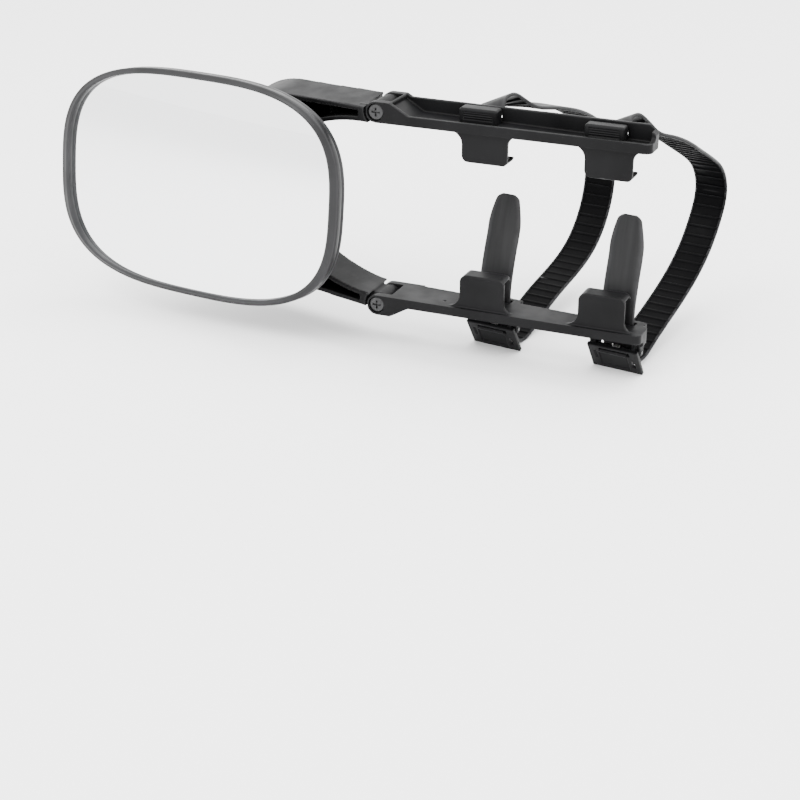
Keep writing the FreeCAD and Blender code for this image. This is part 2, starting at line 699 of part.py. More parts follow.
def strap_anchor(name, slot_x, slot_y):
    """Block in the upper jaw's channel that holds a strap's end, with a ribbed front."""
    x, y0, y1 = anchor_place(name, slot_x)
    floor = JAW_INNER + JAW_BASE
    block = box(x - 12.4, x + 12.4, y0, y1, floor, ANCHOR_TOP)
    block = soften(block, 1.6, lambda e: e.BoundBox.ZMax > floor + 0.1)
    pegs = [Part.makeCylinder(1.5, 3.5, V(x + side, (y0 + y1) / 2, JAW_INNER + 0.2))
            for side in (-9, 9)]
    dish = box(x - 9.6, x + 9.6, y0 - 1, y0 + 0.7, floor + 1.9, ANCHOR_TOP - 1.9)
    ribs = [box(x - 9.6, x + 9.6, y0 + 0.3, y0 + 1, z, z + 0.6)
            for z in (floor + 3.0, floor + 4.4, floor + 5.8)]
    pocket = turned(box(-11.6, 11.6, -9.5, 12.0, STRAP_Z - 1.5, STRAP_Z + 1.5), x, slot_y)
    return fuse([fuse([block] + pegs).cut(dish)] + ribs).cut(pocket)


def release_lever(x, slot_y):
    """Pull-tab, two cheeks that straddle the strap, and the pawl bar behind it."""
    half = LEVER_HALF
    plate = box(-half, half, 0, LEVER_T, 0, LEVER_LENGTH)
    plate = soften(plate, 0.6, lambda e: e.BoundBox.YMax < 0.01)
    window = box(-9.4, 11.4, -1, LEVER_T + 1, 1.6, 5.2)
    slot = box(11.4, 13.8, -1, LEVER_T + 1, 9.0, 15.6)
    panel = box(-10.0, 9.4, -1, 0.6, 6.4, LEVER_LENGTH - 2.6)
    nick = box(-13.2, -11.4, -1, 0.8, 5.0, 12.0)
    bar = along_x(1.2, 1.0, 5.0, -10.0, 8.6)
    plate = plate.cut(window).cut(slot).cut(panel).cut(nick).fuse(bar)
    plate.rotate(V(0, 0, 0), V(1, 0, 0), -LEVER_TILT)
    plate.translate(V(0, *LEVER_TOP))
    pin_y, pin_z = PIN_PLACE
    cheek = [(-5.0, 73.6, 0), (-2.0, 68.5, 1.5), (5.4, 63.2, 1.0), (9.0, 63.2, 1.0), (9.0, 67.0, 1.0),
             (5.4, 76.5, 2.0), (3.8, 82.5, 1.0), (0.4, 83.0, 0)]
    parts = [plate]
    for side in (-1, 1):
        x0, x1 = sorted((side * 12.3, side * 14.2))
        parts.append(prism_yz(cheek, x0, x1))
    parts.append(prism_yz([(5.2, 66.6, 0), (5.4, 63.2, 0), (9.0, 63.2, 0.8), (9.0, 67.0, 0.8)],
                          -14.2, 14.2))
    bore = along_x((PIN_D + RUNNING_FIT) / 2, pin_y, pin_z, -20, 20)
    return below(turned(fuse(parts).cut(bore).removeSplitter(), x, slot_y))


def lever_pin(x, slot_y):
    return below(turned(along_x(PIN_D / 2, *PIN_PLACE, -17.6, 17.6), x, slot_y))


def lever_spring(x, slot_y):
    """Coil of the torsion spring round the lever's pin."""
    wire_r, coil_r, turns, pitch = 0.3, 1.65, 6, 0.9
    helix = Part.makeHelix(pitch, pitch * turns, coil_r)
    circle = Part.makeCircle(wire_r, V(coil_r, 0, 0), V(0, 1, 0))
    coil = Part.Wire(helix.Edges).makePipeShell([Part.Wire(circle)], True, True)
    coil.rotate(V(0, 0, 0), V(0, 1, 0), 90)
    coil.translate(V(-pitch * turns / 2, *PIN_PLACE))
    return below(turned(coil, x, slot_y))


# ---------------------------------------------------------------- the list of pieces
def pieces():
    up_screw, up_nut = pivot_screw(), pivot_nut()
    washers = friction_washers()
    found = {
        "yoke_frame": [yoke_frame()],
        "upper_jaw": [upper_jaw()],
        "lower_jaw": [lower_jaw()],
        "upper_claw_pads": claw_pads(UPPER_DROP),
        "lower_claw_pads": [below(pad) for pad in claw_pads(LOWER_DROP)],
        "upper_pivot_screw": [up_screw],
        "lower_pivot_screw": [below(up_screw)],
        "upper_pivot_nut": [up_nut],
        "lower_pivot_nut": [below(up_nut)],
        "upper_friction_washers": washers,
        "lower_friction_washers": [below(washer) for washer in washers],
        "ball_stud": [ball_stud()],
        "stud_washers": stud_washers(),
        "stud_nut": [stud_nut()],
        "ball_liner": [ball_liner()],
        "mirror_glass": [mirror_glass()],
        "glass_pad": [glass_pad()],
        "glass_carrier": [glass_carrier()],
        "head_bezel": [head_bezel()],
        "head_shell": [head_shell()],
        "shell_screws": shell_screws(),
        "clamp_ring": [clamp_ring()],
        "clamp_ring_screws": clamp_ring_screws(),
    }
    for name, x, y in STRAPS:
        found["strap_" + name] = [strap(name, x, y)]
        found["strap_anchor_" + name] = [strap_anchor(name, x, y)]
        found["release_lever_" + name] = [release_lever(x, y)]
        found["lever_pin_" + name] = [lever_pin(x, y)]
        found["lever_spring_" + name] = [lever_spring(x, y)]
    return found


os.makedirs("parts", exist_ok=True)
for node, solids in pieces().items():
    shapes = [solid for shape in solids for solid in shape.Solids]
    print(node, len(shapes), "solids", round(sum(s.Volume for s in shapes)), "mm3",
          all(s.isValid() for s in shapes))
    whole = shapes[0] if len(shapes) == 1 else Part.makeCompound(shapes)
    whole.exportStep("parts/" + node + ".step")
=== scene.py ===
import json
import math

import bmesh
import bpy
import numpy as np
from mathutils import Matrix, Vector


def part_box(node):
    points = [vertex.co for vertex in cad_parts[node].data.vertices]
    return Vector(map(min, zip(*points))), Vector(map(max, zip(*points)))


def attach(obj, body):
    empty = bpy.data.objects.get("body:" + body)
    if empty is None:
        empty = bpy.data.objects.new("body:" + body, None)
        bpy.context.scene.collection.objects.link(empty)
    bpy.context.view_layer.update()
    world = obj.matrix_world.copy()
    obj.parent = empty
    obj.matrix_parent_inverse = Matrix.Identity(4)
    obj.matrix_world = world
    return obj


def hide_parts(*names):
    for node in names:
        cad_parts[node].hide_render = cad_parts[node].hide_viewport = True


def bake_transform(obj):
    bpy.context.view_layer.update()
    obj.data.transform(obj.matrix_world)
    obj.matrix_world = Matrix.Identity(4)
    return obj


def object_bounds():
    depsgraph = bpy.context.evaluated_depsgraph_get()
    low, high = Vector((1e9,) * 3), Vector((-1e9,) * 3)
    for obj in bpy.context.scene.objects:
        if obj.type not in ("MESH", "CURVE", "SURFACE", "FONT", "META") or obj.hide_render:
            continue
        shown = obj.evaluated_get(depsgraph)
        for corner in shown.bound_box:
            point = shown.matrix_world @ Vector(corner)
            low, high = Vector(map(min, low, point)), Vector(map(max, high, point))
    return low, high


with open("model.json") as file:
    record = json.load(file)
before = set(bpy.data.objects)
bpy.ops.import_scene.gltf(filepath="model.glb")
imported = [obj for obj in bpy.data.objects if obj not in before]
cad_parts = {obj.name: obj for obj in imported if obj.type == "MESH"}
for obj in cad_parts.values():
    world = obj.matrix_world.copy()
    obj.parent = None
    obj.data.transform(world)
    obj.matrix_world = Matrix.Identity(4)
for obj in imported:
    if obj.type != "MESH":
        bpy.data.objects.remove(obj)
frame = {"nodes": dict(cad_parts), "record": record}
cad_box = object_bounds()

MM = 0.001

# ---------------------------------------------------------------- driving sizes, in mm
BALL = Vector((-234.0, 10.5, 0.0))
BALL_IN_HEAD = 19.0
HEAD_YAW, HEAD_LEAN = math.radians(-6.8), math.radians(-7.0)
RIM_HALF, VIEW_HALF = (110.4, 73.3), (104.0, 69.2)
GLASS_HALF = (105.3, 70.5)
GLASS_R, GLASS_T, GLASS_FRONT = 1400.0, 2.5, -0.8
RIM_FRONT, RIM_REAR = -1.0, 8.0
LIP_GAP = 0.12                # between the rim's inner lip and the glass
RIM_STEPS, GLASS_STEPS = 288, 240    # points round the rim and the glass
RIM_POWER, VIEW_POWER = 2.95, 3.1

CLAWS = {"inner": -39.0, "outer": 39.0}
PAD_T, PAD_RIDGE, PAD_HALF = 1.5, 0.4, 12.5
RIDGE_PITCH = 2.0

STRAP_YAW = math.radians(8.0)
STRAP_W, STRAP_T = 22.5, 2.2
OUTSIDE_POINTS = 9            # points of a strap's section on its smooth side
RIB_PITCH, RIB_DEPTH = 7.2, 1.0
STEPS_PER_RIB = 24
RIB_START, RIB_STOP = 32, 44  # smooth lengths at the anchored end and at the free tip
RAIL_W = 1.3                  # plain edge on both sides of the ribs
TAPER_LENGTH, TIP_TAPER, TIP_ROUND = 20, 4.2, 3.5
HUMP_ROLL = math.radians(25.0)       # twist where a strap arches out of the upper jaw
ROLL_IN, ROLL_OUT = (10, 20), (26, 62)      # lengths over which the twist comes and goes
ANCHOR_SHIFT = {"inner": -8.8, "outer": -10.6}    # X from a strap's slot to its anchor
SHIFT_OUT = (22, 100)                # length over which that shift goes
TIP_SHIFT, TIP_SHIFT_OVER = -1.7, (0, 30)    # sideways lean of the free tip
SLOTS = {"inner": (-38.5, 25.0), "outer": (44.5, 19.5)}    # X and Y in the lower jaw

# Camera place in metres, its lens in mm and its turns in degrees.
CAMERA_PLACE, CAMERA_LENS = (0.3243, -0.953, 0.3446), 78.6
CAMERA_DOWN, CAMERA_TURN = 24.39, 23.66

# Centre line of each strap, from its anchored end to its free tip: distance back from
# the strap slot, height above the origin.
LOOPS = {
    "inner": [(-9, 63.8), (-4, 63.8), (0, 63.9), (4, 65.4), (9, 67.6), (15, 68.4), (21, 67.2),
              (28, 64.2), (40, 59.5), (50, 57.2), (64, 54.2), (80, 50.0), (108, 39.5),
              (134, 23.0), (148, 2.0), (149.5, -20.0), (142.5, -38.5), (126, -56.0),
              (99, -67.5), (71, -74.5), (46, -83.0), (33, -88.2), (24, -90.2), (16.5, -89.0),
              (11.6, -84.5), (8.6, -78.5), (5.6, -72.0), (2.6, -65.5), (0.7, -58.5),
              (2.5, -40.0), (8.5, -20.0), (15.5, -3.0), (20.0, 7.4)],
    "outer": [(-9, 63.8), (-4, 63.8), (0, 63.8), (4, 64.6), (9, 65.8), (15, 65.9), (21, 64.2),
              (27, 60.9), (32, 57.9), (38, 54.2), (46, 51.2), (57, 47.5), (88, 32.8),
              (118, 17.5), (136, 4.0), (142, -11.0), (135, -28.0), (119, -45.5), (94, -60.5),
              (62, -72.5), (38, -80.8), (28, -84.8), (20, -86.6), (14, -85.5), (10.6, -81.5),
              (8.0, -76.5), (5.0, -70.5), (2.4, -65.0), (0.7, -58.5), (2.0, -40.0),
              (7.0, -20.0), (12.5, -3.0), (16.0, 7.6)],
}


# ---------------------------------------------------------------- materials
def node_tree(name, color, roughness, metallic=0.0):
    """A new material, with its node tree and shader node."""
    material = bpy.data.materials.new(name)
    material.use_nodes = True
    tree = material.node_tree
    shader = tree.nodes["Principled BSDF"]
    shader.inputs["Base Color"].default_value = (*color, 1)
    shader.inputs["Roughness"].default_value = roughness
    shader.inputs["Metallic"].default_value = metallic
    return material, tree, shader


def noise(tree, scale, detail=4.0, stretch=(1, 1, 1)):
    """Noise in the object's own metres; stretch squeezes it along an axis."""
    place = tree.nodes.new("ShaderNodeTexCoord")
    mapping = tree.nodes.new("ShaderNodeMapping")
    mapping.inputs["Scale"].default_value = stretch
    texture = tree.nodes.new("ShaderNodeTexNoise")
    texture.inputs["Scale"].default_value = scale
    texture.inputs["Detail"].default_value = detail
    tree.links.new(place.outputs["Object"], mapping.inputs["Vector"])
    tree.links.new(mapping.outputs["Vector"], texture.inputs["Vector"])
    return texture.outputs["Fac"]


def spread(tree, value, low, high, start=0.3, end=0.7):
    """Map a 0 to 1 value to the range low to high."""
    ranged = tree.nodes.new("ShaderNodeMapRange")
    for key, number in (("From Min", start), ("From Max", end), ("To Min", low), ("To Max", high)):
        ranged.inputs[key].default_value = number
    tree.links.new(value, ranged.inputs["Value"])
    return ranged.outputs["Result"]


def mixed(tree, factor, first, second):
    """Blend of two colours, each a tuple or a socket."""
    mix = tree.nodes.new("ShaderNodeMix")
    mix.data_type = "RGBA"
    tree.links.new(factor, mix.inputs["Factor"])
    for key, color in (("A", first), ("B", second)):
        socket = [s for s in mix.inputs if s.name == key and s.type == "RGBA"][0]
        if isinstance(color, tuple):
            socket.default_value = (*color, 1)
        else:
            tree.links.new(color, socket)
    return [s for s in mix.outputs if s.type == "RGBA"][0]


def bumped(tree, shader, layers):
    """Chain bump nodes for (height socket, strength, distance) layers."""
    normal = None
    for height, strength, distance in layers:
        bump = tree.nodes.new("ShaderNodeBump")
        bump.inputs["Strength"].default_value = strength
        bump.inputs["Distance"].default_value = distance
        tree.links.new(height, bump.inputs["Height"])
        if normal is not None:
            tree.links.new(normal, bump.inputs["Normal"])
        normal = bump.outputs["Normal"]
    tree.links.new(normal, shader.inputs["Normal"])


def edge_wear_and_highlight(tree, amount):
    """0 in the open and up to amount on outside edges, broken up by noise: part wear, part painted
    highlight on the edges.
    """
    geometry = tree.nodes.new("ShaderNodeNewGeometry")
    edge = spread(tree, geometry.outputs["Pointiness"], 0.0, 1.0, 0.52, 0.62)
    patchy = spread(tree, noise(tree, 90, 5), 0.25, 1.0)
    product = tree.nodes.new("ShaderNodeMath")
    product.operation = "MULTIPLY"
    tree.links.new(edge, product.inputs[0])
    tree.links.new(patchy, product.inputs[1])
    scaled = tree.nodes.new("ShaderNodeMath")
    scaled.operation = "MULTIPLY"
    scaled.inputs[1].default_value = amount
    tree.links.new(product.outputs["Value"], scaled.inputs[0])
    return scaled.outputs["Value"]


def moulded_plastic(name, dark, light, worn_and_highlit, rough, grain, wear_and_highlight=0.5, gloss=0.07):
    """Grained black plastic: cloudy tone, satin patches, fine grain and paler edges, part wear and part
    painted highlight.
    """
    material, tree, shader = node_tree(name, dark, rough)
    cloud = spread(tree, noise(tree, 28, 3), 0.0, 1.0)
    tone = mixed(tree, cloud, dark, light)
    # Edges blend towards the pale edge colour: part wear, part painted highlight.
    tree.links.new(mixed(tree, edge_wear_and_highlight(tree, wear_and_highlight), tone, worn_and_highlit), shader.inputs["Base Color"])
    satin = spread(tree, noise(tree, 60, 6), rough - 0.07, rough + 0.09)
    tree.links.new(satin, shader.inputs["Roughness"])
    bumped(tree, shader, [(noise(tree, 1500, 2), grain, 0.00008),
                          (noise(tree, 140, 2), 0.12, 0.0002)])
    shader.inputs["Specular IOR Level"].default_value = gloss
    return material


def strap_plastic():
    """Flexible black plastic: satin outside, duller on the ribbed side, with flow lines; the ribbed side
    is also painted darker as painted shade.
    """
    material, tree, shader = node_tree("strap_plastic", (0.003, 0.003, 0.0032), 0.45)
    ribbed = tree.nodes.new("ShaderNodeAttribute")
    ribbed.attribute_name = "ribbed"
    flow = spread(tree, noise(tree, 260, 3, (1, 0.08, 0.08)), 0.0, 1.0)
    outside = mixed(tree, flow, (0.008, 0.008, 0.0084), (0.013, 0.013, 0.0135))
    # Ribbed side painted darker than the outside: painted shade of the ribs.
    tone = mixed(tree, ribbed.outputs["Fac"], outside, (0.0018, 0.0018, 0.002))
    # Edges blend towards a pale colour: part wear, part painted highlight.
    tree.links.new(mixed(tree, edge_wear_and_highlight(tree, 1.0), tone, (0.09, 0.09, 0.093)),
                   shader.inputs["Base Color"])
    tree.links.new(spread(tree, noise(tree, 80, 5), 0.36, 0.55), shader.inputs["Roughness"])
    tree.links.new(spread(tree, ribbed.outputs["Fac"], 0.12, 0.03, 0, 1),
                   shader.inputs["Specular IOR Level"])
    bumped(tree, shader, [(flow, 0.15, 0.0001), (noise(tree, 1300, 2), 0.2, 0.00006)])
    return material


def rubber():
    """Dull black rubber with a little dust."""
    material, tree, shader = node_tree("pad_rubber", (0.01, 0.01, 0.01), 0.8)
    dust = spread(tree, noise(tree, 120, 6), 0.0, 1.0)
    tree.links.new(mixed(tree, dust, (0.008, 0.008, 0.008), (0.022, 0.021, 0.02)),
                   shader.inputs["Base Color"])
    bumped(tree, shader, [(noise(tree, 2200, 3), 0.5, 0.0001)])
    return material


def foam():
    """Closed-cell adhesive foam."""
    material, tree, shader = node_tree("foam_pad", (0.04, 0.04, 0.04), 0.95)
    cells = tree.nodes.new("ShaderNodeTexVoronoi")
    cells.inputs["Scale"].default_value = 1400
    bumped(tree, shader, [(cells.outputs["Distance"], 0.6, 0.0003)])
    tree.links.new(mixed(tree, cells.outputs["Distance"], (0.02, 0.02, 0.02), (0.07, 0.07, 0.07)),
                   shader.inputs["Base Color"])
    return material


def nylon():
    """Natural nylon, slightly translucent."""
    material, tree, shader = node_tree("nylon", (0.72, 0.7, 0.64), 0.5)
    tree.links.new(mixed(tree, noise(tree, 150, 4), (0.7, 0.68, 0.62), (0.78, 0.76, 0.7)),
                   shader.inputs["Base Color"])
    shader.inputs["Subsurface Weight"].default_value = 0.15
    shader.inputs["Subsurface Radius"].default_value = (0.001, 0.001, 0.001)
    bumped(tree, shader, [(noise(tree, 900, 2), 0.1, 0.0001)])
    return material


def mirror_silver():
    """Silvered glass: a near-perfect reflector with a trace of wiping haze."""
    material, tree, shader = node_tree("mirror_silver", (0.95, 0.96, 0.965), 0.02, 1.0)
    haze = spread(tree, noise(tree, 18, 6, (1, 1, 3)), 0.006, 0.03, 0.45, 0.75)
    tree.links.new(haze, shader.inputs["Roughness"])
    tint = mixed(tree, noise(tree, 6, 2), (0.945, 0.955, 0.965), (0.965, 0.97, 0.975))
    tree.links.new(tint, shader.inputs["Base Color"])
    shader.inputs["Coat Weight"].default_value = 0.3
    shader.inputs["Coat Roughness"].default_value = 0.01
    return material


def steel(name, dark, light, metallic, rough):
    """Turned or plated steel with fine scratches and small stains."""
    material, tree, shader = node_tree(name, dark, rough, metallic)
    stain = spread(tree, noise(tree, 400, 5), 0.0, 1.0)
    tree.links.new(mixed(tree, stain, dark, light), shader.inputs["Base Color"])
    tree.links.new(spread(tree, noise(tree, 900, 4), rough - 0.08, rough + 0.12),
                   shader.inputs["Roughness"])
    bumped(tree, shader, [(noise(tree, 2600, 2, (1, 6, 1)), 0.2, 0.00005)])
    return material


def all_materials():
    """One material for each slot of the record."""
    # Pale edge colour: part wear, part painted highlight on the edges.
    worn_and_highlit = (0.045, 0.045, 0.047)
    return {
        "black_plastic": moulded_plastic("black_plastic", (0.003, 0.003, 0.0032),
                                         (0.006, 0.006, 0.0064), (0.08, 0.08, 0.082),
                                         0.44, 0.25, 0.7),
        "head_plastic": moulded_plastic("head_plastic", (0.005, 0.005, 0.0053),
                                        (0.009, 0.009, 0.0095), worn_and_highlit, 0.5, 0.4),
        "rim_plastic": moulded_plastic("rim_plastic", (0.010, 0.010, 0.0105),
                                       (0.019, 0.019, 0.02), (0.06, 0.06, 0.062),
                                       0.36, 0.15, 0.8, 0.16),
        "lever_plastic": moulded_plastic("lever_plastic", (0.004, 0.004, 0.0043),
                                         (0.007, 0.007, 0.0075), worn_and_highlit, 0.4, 0.2, 0.8),
        "strap_plastic": strap_plastic(),
        "pad_rubber": rubber(),
        "foam_pad": foam(),
        "nylon": nylon(),
        "black_nylon": moulded_plastic("black_nylon", (0.003, 0.003, 0.003),
                                       (0.006, 0.006, 0.006), worn_and_highlit, 0.6, 0.1, 0.2, 0.05),
        "mirror_silver": mirror_silver(),
        "black_steel": steel("black_steel", (0.004, 0.004, 0.0045), (0.013, 0.013, 0.014),
                             0.25, 0.34),
        "zinc_steel": steel("zinc_steel", (0.5, 0.5, 0.48), (0.68, 0.68, 0.66), 1.0, 0.3),
    }


# ---------------------------------------------------------------- building pieces
def link_mesh(name, mesh):
    """A new object in the scene."""
    obj = bpy.data.objects.new(name, mesh)
    bpy.context.scene.collection.objects.link(obj)
    return obj


def finish_piece(obj, body, slot, *nodes):
    """Give a piece its material and, if rigid, its body, and hide the CAD nodes that it stands for."""
    obj.data.materials.clear()
    obj.data.materials.append(MATERIALS[slot])
    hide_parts(*nodes)
    if body:
        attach(obj, body)
    return obj


def shade(mesh, degrees):
    """Smooth shading that stays sharp at edges above the angle."""
    mesh.shade_smooth()
    mesh.set_sharp_from_angle(angle=math.radians(degrees))


def from_bmesh(name, bm, degrees=40):
    """An object made from a finished bmesh."""
    mesh = bpy.data.meshes.new(name)
    bmesh.ops.recalc_face_normals(bm, faces=bm.faces)
    bm.to_mesh(mesh)
    bm.free()
    shade(mesh, degrees)
    return link_mesh(name, mesh)


def applied(obj, name):
    """The object's mesh with its modifiers made real, in a fresh object."""
    graph = bpy.context.evaluated_depsgraph_get()
    mesh = bpy.data.meshes.new_from_object(obj.evaluated_get(graph))
    bpy.data.objects.remove(obj)
    mesh.name = name
    return link_mesh(name, mesh)


def moulded(node, body, slot, voxel, rounds, keep):
    """A CAD moulding with its edges softened: fine remesh, light smoothing, then thinned."""
    mesh = frame["nodes"][node].data.copy()
    obj = link_mesh(node + "_work", mesh)
    remesh = obj.modifiers.new("remesh", "REMESH")
    remesh.mode = "VOXEL"
    remesh.voxel_size = voxel * MM
    smooth = obj.modifiers.new("smooth", "SMOOTH")
    smooth.factor = 0.5
    smooth.iterations = rounds
    thin = obj.modifiers.new("thin", "DECIMATE")
    thin.ratio = keep
    piece = applied(obj, node + "_moulding")
    shade(piece.data, 50)
    return finish_piece(piece, body, slot, node)


# ---------------------------------------------------------------- mirror head
def head_place():
    """The head's own frame, its front plane at y = 0, in metres in the row frame."""
    turn = Matrix.Rotation(HEAD_YAW, 4, "Z") @ Matrix.Rotation(HEAD_LEAN, 4, "X")
    inward = Matrix.Translation((0, -BALL_IN_HEAD * MM, 0))
    return Matrix.Translation(BALL * MM) @ turn @ inward


def oval(angle, half, power):
    """Point on the superellipse of the head's outline."""
    c, s = math.cos(angle), math.sin(angle)
    return (half[0] * math.copysign(abs(c) ** (2 / power), c),
            half[1] * math.copysign(abs(s) ** (2 / power), s))


def oval_angles(half, power, count):
    """Angles that space points evenly along the outline."""
    fine = [2 * math.pi * i / (count * 16) for i in range(count * 16 + 1)]
    points = np.array([oval(a, half, power) for a in fine])
    run = np.concatenate([[0], np.cumsum(np.linalg.norm(np.diff(points, axis=0), axis=1))])
    return list(np.interp(np.linspace(0, run[-1], count + 1)[:-1], run, fine))


def sphere_y(x, z, offset=0.0):
    """Depth of the convex glass surface behind the head's front plane."""
    radius = GLASS_R - offset
    return GLASS_FRONT + GLASS_R - math.sqrt(radius * radius - x * x - z * z)


def between(first, second, t):
    """Value at the share t of the way from first to second."""
    return first + (second - first) * t


def head_bezel():
    """Rim swept round the head: rolled inner lip, sloped face, side wall with a groove."""
    angles = oval_angles(RIM_HALF, RIM_POWER, RIM_STEPS)
    # Closed section: how far from the glass opening (0) to the rim's outside (1), and depth.
    front = [(0.0, 1.6), (0.0, -0.1), (0.05, -0.6), (0.14, -0.95), (0.26, RIM_FRONT),
             (0.36, -0.85), (0.42, -0.55), (0.8, -0.2), (0.92, 0.05), (0.985, 0.6), (1.0, 1.3)]
    side = [(1.0, 4.6), (0.975, 4.9), (0.975, 5.3), (1.0, 5.6), (1.0, RIM_REAR)]
    behind_glass = [(0.62, 6.0), (0.3, 6.0)]
    section = front + side + [(0.62, RIM_REAR)] + behind_glass
    bm = bmesh.new()
    rings = []
    for angle in angles:
        ring = []
        for t, y in section:
            half = [between(v, r, t) for v, r in zip(VIEW_HALF, RIM_HALF)]
            x, z = oval(angle, half, between(VIEW_POWER, RIM_POWER, t))
            if (t, y) == section[0]:
                y = sphere_y(x, z) - LIP_GAP
            elif (t, y) in behind_glass:
                y = min(max(y, sphere_y(x, z, GLASS_T) + 0.4), RIM_REAR - 0.2)
            ring.append(bm.verts.new((x, y, z)))
        rings.append(ring)
    bridge_rings(bm, rings)
    bmesh.ops.scale(bm, vec=(MM, MM, MM), verts=bm.verts)
    bmesh.ops.transform(bm, matrix=head_place(), verts=bm.verts)
    obj = from_bmesh("mirror_rim", bm, 50)
    return finish_piece(obj, "head_body", "rim_plastic", "head_bezel")


def bridge_rings(bm, rings, closed=True):
    """Quads between neighbouring closed rings of vertices."""
    count = len(rings[0])
    for i in range(len(rings) if closed else len(rings) - 1):
        first, second = rings[i], rings[(i + 1) % len(rings)]
        for j in range(count):
            k = (j + 1) % count
            bm.faces.new((first[j], first[k], second[k], second[j]))


def mirror_glass():
    """Convex glass with a polished edge, smooth enough for a clean reflection."""
    steps = 40
    angles = oval_angles(GLASS_HALF, VIEW_POWER, GLASS_STEPS)
    bm = bmesh.new()
    loops = [(t / steps, 0.0) for t in range(1, steps)]
    loops += [(0.994, 0.0), (1.0, 0.5), (1.0, GLASS_T - 0.4), (0.995, GLASS_T)]
    loops += [(t / 6, GLASS_T) for t in range(5, 0, -1)]
    rings = []
    for t, inward in loops:
        ring = []
        for angle in angles:
            x, z = oval(angle, GLASS_HALF, VIEW_POWER)
            ring.append(bm.verts.new((x * t, sphere_y(x * t, z * t, inward), z * t)))
        rings.append(ring)
    bridge_rings(bm, rings, closed=False)
    for ring, y in ((rings[0], sphere_y(0, 0)), (rings[-1], sphere_y(0, 0, GLASS_T))):
        middle = bm.verts.new((0, y, 0))
        for j in range(GLASS_STEPS):
            bm.faces.new((middle, ring[j], ring[(j + 1) % GLASS_STEPS]))
    bmesh.ops.scale(bm, vec=(MM, MM, MM), verts=bm.verts)
    bmesh.ops.transform(bm, matrix=head_place(), verts=bm.verts)
    obj = from_bmesh("convex_glass", bm, 35)
    return finish_piece(obj, "head_body", "mirror_silver", "mirror_glass")


# ---------------------------------------------------------------- straps
def ease(value, start, end):
    """0 before start, 1 after end, and a smooth step between."""
    t = min(max((value - start) / (end - start), 0.0), 1.0)
    return t * t * (3 - 2 * t)


def smooth_line(points, step):
    """Evenly spaced points, directions and length of a cubic spline through the points."""
    knots = np.array(points, float)
    gaps = np.linalg.norm(np.diff(knots, axis=0), axis=1)
    slopes = np.diff(knots, axis=0) / gaps[:, None]
    matrix, wanted = np.eye(len(knots)), np.zeros(knots.shape)
    for i in range(1, len(knots) - 1):
        matrix[i, i - 1:i + 2] = gaps[i - 1], 2 * (gaps[i - 1] + gaps[i]), gaps[i]
        wanted[i] = 6 * (slopes[i] - slopes[i - 1])
    bend = np.linalg.solve(matrix, wanted)
    fine = []
    for i, gap in enumerate(gaps):
        for b in np.linspace(0, 1, 60, endpoint=False):
            a = 1 - b
            fine.append(a * knots[i] + b * knots[i + 1]
                        + gap * gap / 6 * ((a**3 - a) * bend[i] + (b**3 - b) * bend[i + 1]))
    fine = np.array(fine + [knots[-1]])
    run = np.concatenate([[0], np.cumsum(np.linalg.norm(np.diff(fine, axis=0), axis=1))])
    stations = np.linspace(0, run[-1], int(run[-1] / step))
    even = np.stack([np.interp(stations, run, fine[:, k]) for k in (0, 1)], axis=1)
    heading = np.gradient(even, axis=0)
    heading /= np.linalg.norm(heading, axis=1)[:, None]
    return even, heading, run[-1]


def rib_height(run, length):
    """Inner face above the groove floor: a steep step up, a narrow land, a ramp down."""
    if run < RIB_START or run > length - RIB_STOP:
        return 1.0
    phase = (run / RIB_PITCH) % 1.0
    return float(np.interp(phase, (0, 0.05, 0.2, 0.32, 1), (0, 1, 1, 0.35, 0)))


def strap_half_width(left):
    """Half width at a distance from the rounded free tip."""
    full = STRAP_W / 2
    if left > TAPER_LENGTH:
        return full
    narrow = full - TIP_TAPER * (1 - left / TAPER_LENGTH) ** 1.5
    return narrow * math.sqrt(1 - 0.71 * max(0.0, 1 - left / TIP_ROUND) ** 2)


def strap_section(half, rib):
    """Closed cross-section as (across, inward) points; inward is the ribbed side."""
    top = STRAP_T / 2
    groove = top - RIB_DEPTH * (1 - rib)
    rail = half - RAIL_W
    outside = [(-half + 0.15, -top + 0.35), (-half + 0.5, -top)]
    outside += [(f * half, -top) for f in (-0.6, -0.2, 0.2, 0.6)]
    outside += [(half - 0.5, -top), (half - 0.15, -top + 0.35), (half, -top + 0.8)]
    inside = [(half, top - 0.5), (half - 0.15, top - 0.15), (half - 0.45, top), (rail + 0.1, top)]
    inside += [(rail - 0.15, (top + groove) / 2), (rail - 0.35, groove)]
    inside += [(f * rail, groove) for f in (0.7, 0.35, 0.0)]
    mirrored = [(-u, h) for u, h in inside[::-1][1:]]
    return outside + inside + mirrored + [(-half, -top + 0.8)]


def strap_rows(name):
    """Section points all along a strap, and the distance back of each section."""
    x, y = SLOTS[name]
    back = Vector((math.sin(STRAP_YAW), math.cos(STRAP_YAW), 0))
    across = Vector((math.cos(STRAP_YAW), -math.sin(STRAP_YAW), 0))
    line, heading, length = smooth_line(LOOPS[name], RIB_PITCH / STEPS_PER_RIB)
    rows = []
    for i, ((s, z), (ds, dz)) in enumerate(zip(line, heading)):
        run = length * i / (len(line) - 1)
        left = length - run
        inward = (back * ds + Vector((0, 0, dz))).cross(across).normalized()
        roll = HUMP_ROLL * ease(run, *ROLL_IN) * (1 - ease(run, *ROLL_OUT))
        side = across * math.cos(roll) - inward * math.sin(roll)
        inward = inward * math.cos(roll) + across * math.sin(roll)
        shift = ANCHOR_SHIFT[name] * (1 - ease(run, *SHIFT_OUT))
        shift += TIP_SHIFT * (1 - ease(left, *TIP_SHIFT_OVER))
        middle = Vector((x + shift, y, 0)) + back * s + Vector((0, 0, z))
        section = strap_section(strap_half_width(left), rib_height(run, length))
        rows.append([middle + side * u + inward * h for u, h in section])
    return rows, line[:, 0]


